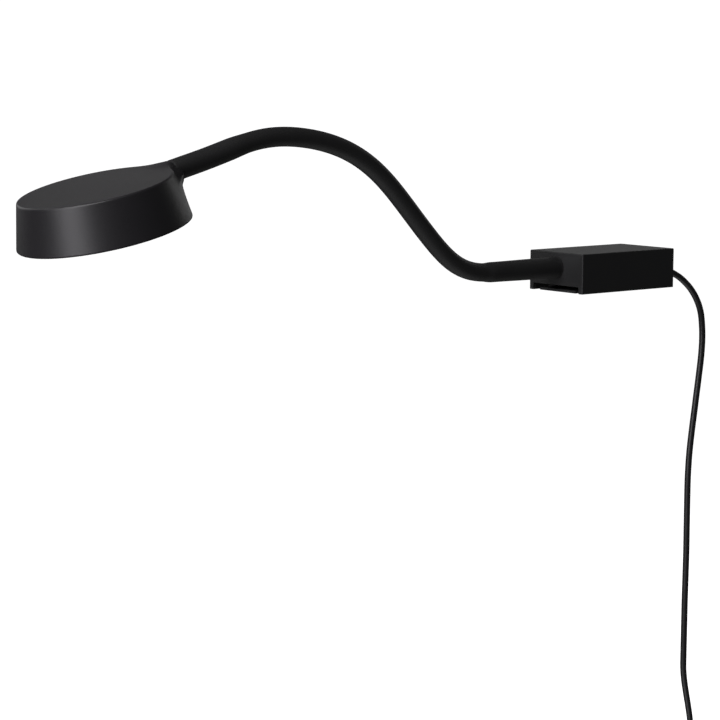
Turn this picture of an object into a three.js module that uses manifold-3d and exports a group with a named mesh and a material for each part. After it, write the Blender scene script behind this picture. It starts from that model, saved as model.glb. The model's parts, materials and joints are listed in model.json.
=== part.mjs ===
// Picture light: a flat round lamp head on a flexible arm, a small driver
// housing that slides onto a flat mounting bracket, and a low-voltage lead.
// Millimetres, +Z up. The origin is the middle of the bracket's underside,
// the arm leaves towards -X and the lead leaves towards +X.
import * as THREE from 'three';
import { mergeVertices } from 'three/addons/utils/BufferGeometryUtils.js';
import Module from 'manifold-3d';

const wasm = await Module();
wasm.setup();

// ---------------------------------------------------------------- dimensions
const GAP = 0.3;                                   // clearance between pieces

const HOUSING = { l: 72.3, w: 41.68, h: 22, endWall: 2.5, sideWall: 2.9, roof: 2.2 };
const FLOOR = { low: 4.0, high: 6.0 };             // inner floor over the bracket channel
const CHANNEL_W = 35.6;
const BRACKET = { x0: -34.6, x1: 33.3, w: 28, t: 1.5 };
const ARM_Z = 13.5;                                // arm axis above the bracket's underside

// slope of the arm's centre line above the horizontal, every 5 mm of its length
const SLOPE_STEP = 5;
const SLOPE_DEG = [0, 0, 0, 0, 0, 0, 0, 0, 0, 0, 0.6, 3.85, 8.84, 15.04, 21.77, 28.37,
  34.18, 38.6, 41.67, 43.65, 44.83, 45.5, 45.92, 46.21, 46.28, 46.02, 45.33, 44.11, 42.28,
  39.94, 37.18, 34.12, 30.88, 27.57, 24.27, 21.04, 17.96, 15.09, 12.48, 10.15, 7.97, 5.77,
  3.42, 0.77, -2.3, -5.63, -8.94, -11.97, -14.45, -16.12, -16.7, -16.7, -16.3, -15.6,
  -14.9, -14.71];
const PIVOTS = [66.3, 88.9, 111.5, 134.2, 156.8, 179.4, 202.0, 224.7];
const PIVOT_GAP = 3.2;
const SLEEVE = { base: 5.55, arm: 4.95, head: 5.45, bore: 3.7 };
const CORE = { r: 3.3, bore: 1.8 };
const SHELL_SEAM = 285.8;                          // where the sleeve ends at the head

const HEAD = { x: -338.43, z: 67.55, tiltDeg: -13.66, rTop: 37.41, rLow: 42.2, h: 22.4, wall: 2.0, roof: 2.2 };

const CORD_R = 1.75;
const CORD_EXIT_Z = 9.4;
const LEAD_X = 74.4;                               // the lead's plumb line
const RING = { x: 61.4, z: -305.8, r0: 15.7, r1: 26.7, half: 9.1 };
const TAIL_Y = 11.2;

// ---------------------------------------------------------------- helpers
function solid(geometry) {
  const bare = geometry.index ? geometry.toNonIndexed() : geometry.clone();
  bare.deleteAttribute('normal');
  if (bare.getAttribute('uv')) bare.deleteAttribute('uv');
  const merged = mergeVertices(bare, 1e-4);
  const p = merged.attributes.position.array;
  const kept = [];
  let volume = 0;
  const index = merged.index.array;
  for (let i = 0; i < index.length; i += 3) {
    const [a, b, c] = [index[i], index[i + 1], index[i + 2]];
    if (a === b || b === c || c === a) continue;
    kept.push(a, b, c);
    const [ax, ay, az] = [p[3 * a], p[3 * a + 1], p[3 * a + 2]];
    const [bx, by, bz] = [p[3 * b], p[3 * b + 1], p[3 * b + 2]];
    const [cx, cy, cz] = [p[3 * c], p[3 * c + 1], p[3 * c + 2]];
    volume += ax * (by * cz - bz * cy) - ay * (bx * cz - bz * cx) + az * (bx * cy - by * cx);
  }
  if (volume < 0) for (let i = 0; i < kept.length; i += 3) [kept[i + 1], kept[i + 2]] = [kept[i + 2], kept[i + 1]];
  return new wasm.Manifold(new wasm.Mesh({
    numProp: 3, vertProperties: Float32Array.from(p), triVerts: Uint32Array.from(kept),
  }));
}

function geometryOf(body) {
  const mesh = body.getMesh();
  const out = new THREE.BufferGeometry();
  out.setAttribute('position', new THREE.BufferAttribute(Float32Array.from(mesh.vertProperties), 3));
  out.setIndex(new THREE.BufferAttribute(Uint32Array.from(mesh.triVerts), 1));
  out.computeVertexNormals();
  return out;
}

const join = (first, ...rest) => rest.reduce((a, b) => a.add(b), first);
const cut = (first, ...rest) => rest.reduce((a, b) => a.subtract(b), first);

function box(x0, x1, y0, y1, z0, z1) {
  const g = new THREE.BoxGeometry(x1 - x0, y1 - y0, z1 - z0);
  return solid(g.translate((x0 + x1) / 2, (y0 + y1) / 2, (z0 + z1) / 2));
}

// a closed profile [[radius, height], ...] turned about Z
function turned(profile, sides = 24, place = new THREE.Matrix4()) {
  const points = profile.map(([r, z]) => new THREE.Vector2(r, z));
  const closed = profile[0][0] !== 0 || profile[profile.length - 1][0] !== 0;
  if (closed) points.push(points[0].clone());
  const g = new THREE.LatheGeometry(points, sides);
  g.rotateX(Math.PI / 2);
  return solid(g.applyMatrix4(place));
}

const alongMinusX = (x, y, z) => new THREE.Matrix4().makeTranslation(x, y, z).multiply(new THREE.Matrix4().makeRotationY(-Math.PI / 2));
const alongPlusX = (x, y, z) => new THREE.Matrix4().makeTranslation(x, y, z).multiply(new THREE.Matrix4().makeRotationY(Math.PI / 2));
const at = (x, y, z) => new THREE.Matrix4().makeTranslation(x, y, z);
const upsideDown = (x, y, z) => new THREE.Matrix4().makeTranslation(x, y, z).multiply(new THREE.Matrix4().makeRotationX(Math.PI));

const rod = (r, z0, z1, sides = 16, place = new THREE.Matrix4()) => turned([[0, z0], [r, z0], [r, z1], [0, z1]], sides, place);

function polygon(path, r, sides) {
  for (let i = 0; i <= sides; i++) {
    const a = (i / sides) * 2 * Math.PI;
    if (i === 0) path.moveTo(r, 0);
    else if (i < sides) path.lineTo(r * Math.cos(a), r * Math.sin(a));
    else path.closePath();
  }
  return path;
}

function swept(curve, rOut, rIn, sides, steps) {
  const shape = polygon(new THREE.Shape(), rOut, sides);
  if (rIn) shape.holes.push(polygon(new THREE.Path(), rIn, sides));
  return new THREE.ExtrudeGeometry(shape, { steps, extrudePath: curve, bevelEnabled: false });
}

function roundedBlock(l, w, h, corner, bevel) {
  const [a, b, r] = [l / 2 - bevel, w / 2 - bevel, corner];
  const s = new THREE.Shape();
  s.moveTo(-a + r, -b);
  s.lineTo(a - r, -b);
  s.absarc(a - r, -b + r, r, -Math.PI / 2, 0);
  s.lineTo(a, b - r);
  s.absarc(a - r, b - r, r, 0, Math.PI / 2);
  s.lineTo(-a + r, b);
  s.absarc(-a + r, b - r, r, Math.PI / 2, Math.PI);
  s.lineTo(-a, -b + r);
  s.absarc(-a + r, -b + r, r, Math.PI, 1.5 * Math.PI);
  const g = new THREE.ExtrudeGeometry(s, { depth: h - 2 * bevel, bevelThickness: bevel, bevelSize: bevel, bevelSegments: 1, curveSegments: 2 });
  return solid(g.translate(0, 0, bevel));
}

// screw with its head down: the head's outer face at z = 0, shank upwards
const screw = (place, headR, headH, shankR, length) => turned(
  [[0, 0.5], [headR * 0.45, 0.5], [headR * 0.45, 0], [headR * 0.9, 0], [headR, headH], [shankR, headH], [shankR, length - 1.2], [0, length]], 8, place);

// ---------------------------------------------------------------- arm centre line
const TABLE_STEP = 0.5;
const armTable = [];
{
  const slope = (s) => {
    const k = Math.min(Math.max(s / SLOPE_STEP, 0), SLOPE_DEG.length - 1.000001);
    const i = Math.floor(k);
    const deg = SLOPE_DEG[i] + (k - i) * (SLOPE_DEG[i + 1] - SLOPE_DEG[i]);
    return THREE.MathUtils.degToRad(deg);
  };
  let [x, z] = [-HOUSING.l / 2, ARM_Z];
  for (let i = 0; i <= 660; i++) {
    armTable.push([x, z, slope(i * TABLE_STEP)]);
    const m = slope((i + 0.5) * TABLE_STEP);
    x -= TABLE_STEP * Math.cos(m);
    z += TABLE_STEP * Math.sin(m);
  }
}

function armPoint(s) {
  if (s <= 0) return new THREE.Vector3(-HOUSING.l / 2 - s, 0, ARM_Z);
  const k = Math.min(s / TABLE_STEP, armTable.length - 1.000001);
  const i = Math.floor(k);
  const [a, b] = [armTable[i], armTable[i + 1]];
  return new THREE.Vector3(a[0] + (k - i) * (b[0] - a[0]), 0, a[1] + (k - i) * (b[1] - a[1]));
}

class ArmCurve extends THREE.Curve {
  constructor(from, to) {
    super();
    this.from = from;
    this.to = to;
  }

  getPoint(t, target = new THREE.Vector3()) {
    return target.copy(armPoint(this.from + (this.to - this.from) * t));
  }
}

const armTube = (from, to, rOut, rIn, sides, steps, place) => {
  const g = swept(new ArmCurve(from, to), rOut, rIn, sides, steps);
  return solid(place ? g.applyMatrix4(place) : g);
};

// ---------------------------------------------------------------- scene graph
const light = new THREE.Group();
const headGroup = new THREE.Group();
headGroup.position.set(HEAD.x, 0, HEAD.z);
headGroup.rotation.y = THREE.MathUtils.degToRad(HEAD.tiltDeg);
headGroup.updateMatrix();
const intoHead = headGroup.matrix.clone().invert();
light.add(headGroup);

const matte = { color: 0x1b1b1c, roughness: 0.62, metalness: 0.0 };
const finishes = {
  housing: matte,
  shell: { color: 0x1c1b1d, roughness: 0.48, metalness: 0.0 },
  silicone: { color: 0x141415, roughness: 0.7, metalness: 0.0 },
  steel: { color: 0xa8abad, roughness: 0.38, metalness: 1.0 },
  blackSteel: { color: 0x161617, roughness: 0.5, metalness: 0.4 },
  aluminium: { color: 0xc2c4c6, roughness: 0.42, metalness: 1.0 },
  brass: { color: 0xb99a55, roughness: 0.35, metalness: 1.0 },
  board: { color: 0x1f5a37, roughness: 0.5, metalness: 0.0 },
  ledBoard: { color: 0xe9e9e4, roughness: 0.5, metalness: 0.0 },
  ferrite: { color: 0x2b2c2e, roughness: 0.75, metalness: 0.0 },
  capacitor: { color: 0x24303f, roughness: 0.4, metalness: 0.0 },
  film: { color: 0xb5322a, roughness: 0.45, metalness: 0.0 },
  chip: { color: 0x121213, roughness: 0.55, metalness: 0.0 },
  terminal: { color: 0x2f6f55, roughness: 0.5, metalness: 0.0 },
  opal: { color: 0xf2f1ec, roughness: 0.45, metalness: 0.0 },
  white: { color: 0xf1f1ee, roughness: 0.5, metalness: 0.0 },
  cord: { color: 0x151516, roughness: 0.55, metalness: 0.0 },
  tie: { color: 0x1a1a1b, roughness: 0.8, metalness: 0.0 },
};

function add(name, body, finish, group = light) {
  const mesh = new THREE.Mesh(geometryOf(body), new THREE.MeshStandardMaterial(finishes[finish]));
  mesh.name = name;
  group.add(mesh);
}

// ---------------------------------------------------------------- bracket
{
  const { x0, x1, w, t } = BRACKET;
  let plate = box(x0, x1, -w / 2, w / 2, 0, t);
  for (const side of [-1, 1]) {
    const ys = (a, b) => [Math.min(side * a, side * b), Math.max(side * a, side * b)];
    plate = join(plate, box(-26, 26, ...ys(11.0, 12.4), t - 0.2, 3.2), box(-26, 26, ...ys(11.0, 16.6), 2.4, 3.4));
  }
  for (const x of [-20, 20]) {
    plate = cut(plate, turned([[0, -1], [2.1, -1], [2.1, 0.5], [4.0, 1.6], [4.0, 4], [0, 4]], 14, at(x, 0, 0)));
  }
  add('mounting_bracket', plate, 'blackSteel');
  const leaf = new THREE.Shape();
  leaf.moveTo(-12, 1.8);
  leaf.lineTo(-6, 1.8);
  leaf.lineTo(2, 3.3);
  leaf.lineTo(4, 3.3);
  leaf.lineTo(8, 2.4);
  leaf.lineTo(8, 2.75);
  leaf.lineTo(4.1, 3.65);
  leaf.lineTo(1.9, 3.65);
  leaf.lineTo(-6.1, 2.2);
  leaf.lineTo(-12, 2.2);
  const g = new THREE.ExtrudeGeometry(leaf, { depth: 7, bevelEnabled: false });
  g.rotateX(Math.PI / 2).translate(0, 3.5, 0);
  add('bracket_catch_spring', solid(g), 'steel');
}

// ---------------------------------------------------------------- housing
const BOSSES = [[-29.4, -14], [-29.4, 14], [29.0, -14], [29.0, 14]];
{
  const { l, w, h, endWall, sideWall, roof } = HOUSING;
  const [a, b] = [l / 2, w / 2];
  let shell = roundedBlock(l, w, h, 0.9, 0.7);
  shell = cut(shell, box(-a + endWall, a - endWall, -b + sideWall, b - sideWall, -1, h - roof));
  // the bracket channel is open at the arm's end
  shell = cut(shell, box(-a - 1, -a + endWall + 1, -CHANNEL_W / 2, CHANNEL_W / 2, -1, 3.8));
  // rails that run under the bracket's flanges
  for (const side of [-1, 1]) {
    const ys = [side * 14.4, side * (b - sideWall + 0.5)].sort((p, q) => p - q);
    shell = join(shell, box(-24, a - endWall + 0.5, ...ys, 0.1, 2.0));
  }
  for (const [x, y] of BOSSES) shell = join(shell, rod(3.1, FLOOR.high + GAP, h - roof + 0.4, 10, at(x, y, 0)));
  for (const [x, y] of BOSSES) shell = cut(shell, rod(1.5, 2, 15.5, 8, at(x, y, 0)));
  shell = cut(shell, rod(3.75, -4, 8, 14, alongMinusX(-a + 4, 0, ARM_Z)));
  shell = cut(shell, rod(2.95, -4, 8, 12, alongPlusX(a - 4, 0, CORD_EXIT_Z)));
  add('housing_shell', shell, 'housing');

  let floor = box(-a + endWall + GAP, a - endWall - GAP, -b + sideWall + GAP, b - sideWall - GAP, FLOOR.low, FLOOR.high);
  floor = cut(floor, box(29.8, a, -5, 5, 0, 10));
  for (const [x, y] of BOSSES) {
    floor = cut(floor, rod(2.75, 0, FLOOR.low + 1.3, 8, at(x, y, 0)), rod(1.5, 0, 10, 8, at(x, y, 0)));
  }
  for (const [x, y] of [[-22, -13], [-22, 13], [22, -13], [22, 13]]) floor = join(floor, rod(1.6, FLOOR.high - 0.5, 7.2, 6, at(x, y, 0)));
  floor = join(floor, box(25.6, 28.4, -5.6, -3.2, FLOOR.high - 0.5, 11.5), box(25.6, 28.4, 3.2, 5.6, FLOOR.high - 0.5, 11.5));
  add('bottom_cover', floor, 'housing');
  BOSSES.forEach(([x, y], i) => add(`cover_screw_${i + 1}`, screw(at(x, y, FLOOR.low + 0.05), 2.35, 1.0, 1.2, 10), 'steel'));
}

// driver electronics
{
  let board = box(-25.4, 25.4, -16.4, 16.4, 7.5, 9.1);
  for (const [x, y] of [[-22, -13], [22, 13]]) board = cut(board, rod(1.2, 5, 12, 10, at(x, y, 0)));
  board = join(board, box(-16, -8, -13, -9, 9.0, 9.8), box(2, 7, 10, 13.5, 9.0, 9.7), box(10, 13, -14, -10, 9.0, 9.9));
  add('circuit_board', board, 'board');
  const drum = [[0, 9.4], [6.2, 9.4], [6.2, 11], [4.8, 11.6], [4.8, 15.6], [6.2, 16.2], [6.2, 17.6], [0, 17.6]];
  add('inductor', turned(drum, 14, at(-12, 5.5, 0)), 'ferrite');
  const can = [[0, 9.4], [4.1, 9.4], [4.1, 10.6], [3.8, 10.9], [4.1, 11.2], [4.1, 18.8], [0, 18.8]];
  add('smoothing_capacitor', turned(can, 12, at(2, 4, 0)), 'capacitor');
  add('film_capacitor', box(8.6, 13.0, -1.2, 8.2, 9.4, 16.8), 'film');
  let chip = box(-2.1, 4.1, -10, -5, 9.4, 10.9);
  for (let i = 0; i < 4; i++) {
    const x = -1.2 + i * 1.27 - 0.3;
    chip = join(chip, box(x, x + 0.45, -11.0, -9.8, 9.4, 9.9), box(x, x + 0.45, -5.2, -4.0, 9.4, 9.9));
  }
  add('driver_chip', chip, 'chip');
  let block = box(15.4, 22.4, -6.5, 6.5, 9.4, 17.4);
  for (const y of [-3.2, 3.2]) block = cut(block, rod(1.5, 14.5, 20, 8, at(18.9, y, 0)), rod(1.5, -6, 6, 8, alongPlusX(18.9, y, 12)));
  add('terminal_block', block, 'terminal');
}

// arm's root: threaded ferrule, nut, sleeve
{
  const x0 = -HOUSING.l / 2;
  const ferrule = turned([[CORE.bore, -9.2], [2.9, -9.2], [CORE.r, -8.8], [CORE.r, GAP], [4.8, GAP], [4.8, 2.8], [CORE.r, 3.1], [CORE.r, 50], [CORE.bore, 50]], 10, alongMinusX(x0, 0, ARM_Z));
  add('arm_base_ferrule', ferrule, 'steel');
  const nut = cut(turned([[0, 29.9], [4.9, 29.9], [5.2, 30.2], [5.2, 33.0], [4.9, 33.3], [0, 33.3]], 6, alongMinusX(0, 0, ARM_Z)), rod(3.6, 20, 40, 16, alongMinusX(0, 0, ARM_Z)));
  add('arm_lock_nut', nut, 'brass');
  const foot = turned([[5.1, GAP], [6.3, GAP], [5.95, 1.0], [5.78, 2.2], [5.75, 6.5], [SLEEVE.base, 45], [SLEEVE.bore, 45], [SLEEVE.bore, 3.4], [5.1, 3.2]], 12, alongMinusX(x0, 0, ARM_Z));
  const firm = armTube(44.8, 51.5, SLEEVE.base, SLEEVE.bore, 12, 1);
  const soft = armTube(51.3, PIVOTS[0] - PIVOT_GAP / 2, SLEEVE.arm, SLEEVE.bore, 12, 3);
  add('base_sleeve', join(foot, firm, soft), 'silicone');
  add('gooseneck_core_0', armTube(50.3, PIVOTS[0] - PIVOT_GAP / 2, CORE.r, CORE.bore, 8, 3), 'steel');
}

// lead's gland, clamp and the wires inside the housing
const exitCurve = new THREE.CatmullRomCurve3([
  new THREE.Vector3(36.45, 0, CORD_EXIT_Z), new THREE.Vector3(39.5, 0, CORD_EXIT_Z - 0.02),
  new THREE.Vector3(44.6, 0, 8.97), new THREE.Vector3(49.9, 0, 8.02),
], false, 'centripetal');
{
  const a = HOUSING.l / 2;
  class Part extends THREE.Curve {
    constructor(t) {
      super();
      this.t = t;
    }

    getPoint(u, target = new THREE.Vector3()) {
      return exitCurve.getPointAt(u * this.t, target);
    }
  }
  const root = turned([[0, -5.2], [3.9, -5.2], [3.9, -3.1], [2.6, -3.0], [2.6, 0.2], [4.3, 0.3], [4.3, 1.6], [3.3, 3.0], [0, 3.0]], 12, alongPlusX(a, 0, CORD_EXIT_Z));
  const relief = join(root, solid(swept(new Part(0.6), 3.0, 0, 8, 3)), solid(swept(new Part(1), 2.4, 0, 8, 4)));
  add('strain_relief', relief, 'silicone');
  const inner = new THREE.CatmullRomCurve3([
    new THREE.Vector3(30.6, 0, CORD_EXIT_Z), new THREE.Vector3(28.2, 0, CORD_EXIT_Z + 0.15),
    new THREE.Vector3(26.2, 0, 10.7), new THREE.Vector3(24.4, 0, 11.8), new THREE.Vector3(22.75, 0, 12.0),
  ], false, 'centripetal');
  add('supply_wires', solid(swept(inner, 1.4, 0, 8, 8)), 'cord');
  const clamp = cut(box(26.0, 28.0, -2.9, 2.9, 6.3, 13.8), rod(2.2, -5, 5, 12, alongPlusX(27, 0, CORD_EXIT_Z + 0.75)), box(25, 29, -1.9, 1.9, 5, 10));
  add('lead_clamp', clamp, 'housing');
  const wires = new THREE.CatmullRomCurve3([
    new THREE.Vector3(-26.6, 0, ARM_Z), new THREE.Vector3(-23, 0, 13.0), new THREE.Vector3(-20.5, -3, 11.4),
    new THREE.Vector3(-19.5, -6.5, 10.6), new THREE.Vector3(-13, -7.2, 11.2), new THREE.Vector3(-5, -5.6, 12.4),
    new THREE.Vector3(6, -3.6, 12.6), new THREE.Vector3(12, -3.2, 12.0), new THREE.Vector3(15.0, -3.2, 12.0),
  ], false, 'centripetal');
  add('arm_wires', solid(swept(wires, 1.0, 0, 6, 14)), 'cord');
}

// ---------------------------------------------------------------- flexible arm
for (let i = 0; i < 7; i++) {
  const [from, to] = [PIVOTS[i] + PIVOT_GAP / 2, PIVOTS[i + 1] - PIVOT_GAP / 2];
  add(`arm_sleeve_${i + 1}`, armTube(from, to, SLEEVE.arm, SLEEVE.bore, 12, 3), 'silicone');
  add(`gooseneck_core_${i + 1}`, armTube(from, to, CORE.r, CORE.bore, 8, 2), 'steel');
}

// ---------------------------------------------------------------- lamp head
{
  const { rTop, rLow, h, wall, roof } = HEAD;
  const radius = (z) => rTop + (rLow - rTop) * (-z / h);
  const start = PIVOTS[7] + PIVOT_GAP / 2;
  add('head_sleeve', join(armTube(start, 241.2, SLEEVE.arm, SLEEVE.bore, 12, 2), armTube(241, SHELL_SEAM - GAP, SLEEVE.head, SLEEVE.bore, 12, 4)), 'silicone');
  add('arm_head_ferrule', join(armTube(start, SHELL_SEAM - GAP, CORE.r, 1.4, 8, 5), armTube(SHELL_SEAM - GAP - 0.2, 308, 2.4, 1.4, 8, 1)), 'steel');

  const outer = [[0, 0], [rTop - 0.7, 0], [radius(-0.7), -0.7], [radius(-h + 1.3), -h + 1.3], [radius(-h) - 0.6, -h + 0.3], [radius(-h) - 1.3, -h]];
  const inner = [[radius(-h) - wall, -h], [rTop + (rLow - rTop) * (roof / h) - wall, -roof], [0, -roof]];
  let shell = turned([...outer, ...inner], 40);
  const reach = armPoint(SHELL_SEAM).applyMatrix4(intoHead);
  const far = armPoint(SHELL_SEAM + 20).applyMatrix4(intoHead);
  const along = far.clone().sub(reach).normalize();
  const place = new THREE.Matrix4().compose(reach, new THREE.Quaternion().setFromUnitVectors(new THREE.Vector3(0, 0, 1), along), new THREE.Vector3(1, 1, 1));
  const neck = turned([[0, 0], [5.2, 0], [5.6, 0.3], [5.6, 4.6], [6.6, 5.6], [7.6, 7.6], [6.0, 9.0], [5.5, 13], [4.6, 21], [0, 21]], 14, place);
  const cavity = turned([[0, -h - 5], [radius(-h) - wall, -h - 5], [radius(-h) - wall, -h], [rTop + (rLow - rTop) * (roof / h) - wall, -roof], [0, -roof]], 40);
  shell = join(shell, cut(neck, cavity, box(-60, 36.5, -20, 20, -20, -roof)));
  for (const deg of [90, 180, 270]) {
    const [x, y] = [28 * Math.cos(THREE.MathUtils.degToRad(deg)), 28 * Math.sin(THREE.MathUtils.degToRad(deg))];
    shell = join(shell, rod(3.0, -12.1, -roof + 0.4, 10, at(x, y, 0)));
    shell = cut(shell, rod(1.4, -14, -4, 8, at(x, y, 0)));
  }
  shell = join(shell, box(20.5, 34.4, -10, 10, -4.7, -roof + 0.4));
  for (const y of [-6.8, 6.8]) shell = cut(shell, rod(1.25, -8, -1.4, 8, at(27, y, 0)));
  shell = cut(shell, rod(2.75, -2, 26, 10, place));
  add('head_shell', shell, 'shell', headGroup);

  const saddle = cut(box(22, 32, -10, 10, -9.4, -5.0), rod(2.75, -2, 26, 10, place), rod(1.3, -12, 0, 8, at(27, -6.8, 0)), rod(1.3, -12, 0, 8, at(27, 6.8, 0)));
  add('arm_saddle', saddle, 'aluminium', headGroup);
  [-6.8, 6.8].forEach((y, i) => add(`saddle_screw_${i + 1}`, screw(at(27, y, -11.3), 2.1, 1.6, 0.95, 9.2), 'steel', headGroup));

  let spreader = turned([[3, -13.9], [34, -13.9], [34, -12.4], [3, -12.4]], 28);
  for (const deg of [90, 180, 270]) spreader = cut(spreader, rod(1.5, -16, -10, 8, at(28 * Math.cos(THREE.MathUtils.degToRad(deg)), 28 * Math.sin(THREE.MathUtils.degToRad(deg)), 0)));
  add('heat_spreader', spreader, 'aluminium', headGroup);
  [90, 180, 270].forEach((deg, i) => add(`head_screw_${i + 1}`, screw(at(28 * Math.cos(THREE.MathUtils.degToRad(deg)), 28 * Math.sin(THREE.MathUtils.degToRad(deg)), -15.6), 2.3, 1.4, 1.05, 9.5), 'steel', headGroup));

  let leds = turned([[0, -15.2], [24.6, -15.2], [24.6, -14.2], [0, -14.2]], 24);
  for (const [count, r] of [[12, 19.5], [6, 10]]) {
    for (let i = 0; i < count; i++) {
      const a = (i / count) * 2 * Math.PI;
      const chip = new THREE.BoxGeometry(2.8, 2.8, 0.9).translate(r, 0, -15.45).rotateZ(a);
      leds = join(leds, solid(chip));
    }
  }
  add('led_board', leds, 'ledBoard', headGroup);
  const headWires = new THREE.CatmullRomCurve3([
    new THREE.Vector3(20.0, 0, -5.0), new THREE.Vector3(16, 0, -5.4), new THREE.Vector3(8, 0, -6.2),
    new THREE.Vector3(2.5, 0, -8.2), new THREE.Vector3(0.2, 0, -11), new THREE.Vector3(0, 0, -13.9),
  ], false, 'centripetal');
  add('head_wires', solid(swept(headWires, 1.0, 0, 6, 8)), 'cord', headGroup);
  add('reflector', turned([[25.6, -17.0], [37.6, -19.1], [37.4, -18.3], [25.6, -16.1]], 32), 'white', headGroup);
  add('diffuser', turned([[0, -21.0], [38.2, -21.0], [38.2, -19.4], [0, -19.4]], 36), 'opal', headGroup);
  add('bezel_ring', turned([[34.6, -22.1], [39.4, -22.1], [39.7, -21.8], [39.15, -19.2], [38.5, -19.2], [38.5, -21.3], [34.6, -21.3]], 36), 'housing', headGroup);
}

// ---------------------------------------------------------------- lead
{
  const v = (x, z) => new THREE.Vector3(x, 0, z);
  const route = [v(50.2, 7.95), v(54.5, 6.6), v(59.3, 4.62), v(64.4, 2.0), v(69.6, -1.65), v(73.1, -4.65), v(77.2, -9.3),
    v(80.4, -14.4), v(82.4, -19.3), v(83.7, -26.5), v(84.2, -33.6), v(84.0, -40.6), v(83.3, -47.7), v(82.3, -54.7),
    v(81.25, -61.7), v(80.15, -68.7), v(79.1, -75.8), v(78.0, -82.8), v(76.95, -89.8), v(76.0, -96.8), v(75.25, -103.9),
    v(74.8, -111), v(74.55, -118), v(74.55, -132), v(74.65, -147), v(74.75, -161), v(74.6, -175), v(74.4, -190),
    v(LEAD_X, -210), v(LEAD_X, -235), v(LEAD_X, -256), v(LEAD_X, -268)];
  for (const deg of [15, 32, 50]) {
    const a = THREE.MathUtils.degToRad(deg);
    route.push(v(RING.x + 13 * Math.cos(a), -268 - 13 * Math.sin(a)));
  }
  add('cord', solid(swept(new THREE.CatmullRomCurve3(route, false, 'centripetal'), CORD_R, 0, 8, 44)), 'cord');
  const ring = turned([[RING.r0, -RING.half + 1.5], [RING.r0 + 1.5, -RING.half], [RING.r1 - 1.5, -RING.half], [RING.r1, -RING.half + 1.5],
    [RING.r1, RING.half - 1.5], [RING.r1 - 1.5, RING.half], [RING.r0 + 1.5, RING.half], [RING.r0, RING.half - 1.5]], 26,
  new THREE.Matrix4().makeTranslation(RING.x, 0, RING.z).multiply(new THREE.Matrix4().makeRotationX(Math.PI / 2)));
  add('cord_coil', ring, 'cord');
  const tailRoute = [];
  for (const [deg, r] of [[132, 21.5], [145, 22.4], [160, 23.6], [172, 24.4], [180, 24.8]]) {
    const a = THREE.MathUtils.degToRad(deg);
    tailRoute.push(new THREE.Vector3(RING.x + r * Math.cos(a), TAIL_Y, RING.z + r * Math.sin(a)));
  }
  const tailX = RING.x - 24.8;
  for (const z of [-311, -318, -327, -337.7]) tailRoute.push(new THREE.Vector3(tailX, TAIL_Y, z));
  add('cord_tail', solid(swept(new THREE.CatmullRomCurve3(tailRoute, false, 'centripetal'), CORD_R, 0, 8, 14)), 'cord');
  // tie round the coil, at 103 degrees from its +X side
  const tie = cut(box(15.0 - 1.0, 27.2 + 1.0, -10.6, 14.4, -3, 3), box(15.0, 27.2, -9.6, 13.4, -4, 4));
  const tieG = geometryOf(tie);
  tieG.rotateY(-THREE.MathUtils.degToRad(103)).translate(RING.x, 0, RING.z);
  add('cord_tie', solid(tieG), 'tie');
  const plug = [[0, 0], [2.3, 0], [2.6, 2.5], [2.9, 6], [4.3, 8.2], [4.7, 9.2], [4.7, 20.5], [4.2, 21.6], [3.9, 22.4], [0, 22.4]];
  add('connector_body', turned(plug, 14, upsideDown(tailX, TAIL_Y, -338)), 'cord');
  add('connector_barrel', turned([[0, 22.7], [2.75, 22.7], [2.75, 31.7], [2.45, 32.2], [1.1, 32.2], [1.1, 24.5], [0, 24.5]], 10, upsideDown(tailX, TAIL_Y, -338)), 'steel');
}

export default light;
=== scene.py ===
import json
import math

import bmesh
import bpy
import numpy as np
from mathutils import Matrix, Vector


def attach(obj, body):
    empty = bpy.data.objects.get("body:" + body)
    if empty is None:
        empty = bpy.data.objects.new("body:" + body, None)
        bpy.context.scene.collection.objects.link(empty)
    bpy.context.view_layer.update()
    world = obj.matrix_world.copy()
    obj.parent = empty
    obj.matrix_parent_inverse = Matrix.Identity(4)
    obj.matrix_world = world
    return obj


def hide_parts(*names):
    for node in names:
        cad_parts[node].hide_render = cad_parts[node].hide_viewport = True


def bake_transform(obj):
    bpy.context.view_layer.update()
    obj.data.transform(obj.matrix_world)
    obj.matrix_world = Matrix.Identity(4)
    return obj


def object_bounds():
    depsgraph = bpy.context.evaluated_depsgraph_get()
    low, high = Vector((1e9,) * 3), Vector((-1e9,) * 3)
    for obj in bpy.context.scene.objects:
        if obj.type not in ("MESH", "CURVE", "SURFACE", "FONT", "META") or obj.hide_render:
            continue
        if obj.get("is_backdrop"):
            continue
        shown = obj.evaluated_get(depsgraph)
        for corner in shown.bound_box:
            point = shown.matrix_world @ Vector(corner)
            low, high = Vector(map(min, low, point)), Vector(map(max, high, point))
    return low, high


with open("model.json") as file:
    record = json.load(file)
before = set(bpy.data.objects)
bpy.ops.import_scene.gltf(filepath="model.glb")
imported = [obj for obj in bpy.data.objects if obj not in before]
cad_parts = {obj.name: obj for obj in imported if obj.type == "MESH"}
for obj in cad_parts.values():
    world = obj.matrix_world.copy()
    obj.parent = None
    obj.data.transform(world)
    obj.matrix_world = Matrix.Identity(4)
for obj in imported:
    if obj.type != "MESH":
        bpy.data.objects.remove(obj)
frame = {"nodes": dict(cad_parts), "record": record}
MM = 0.001


def note_size(key, store={}):
    low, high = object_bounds()
    store[key] = {"low": [float(v) for v in low], "high": [float(v) for v in high]}


note_size("frame")
scene = bpy.context.scene

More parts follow.
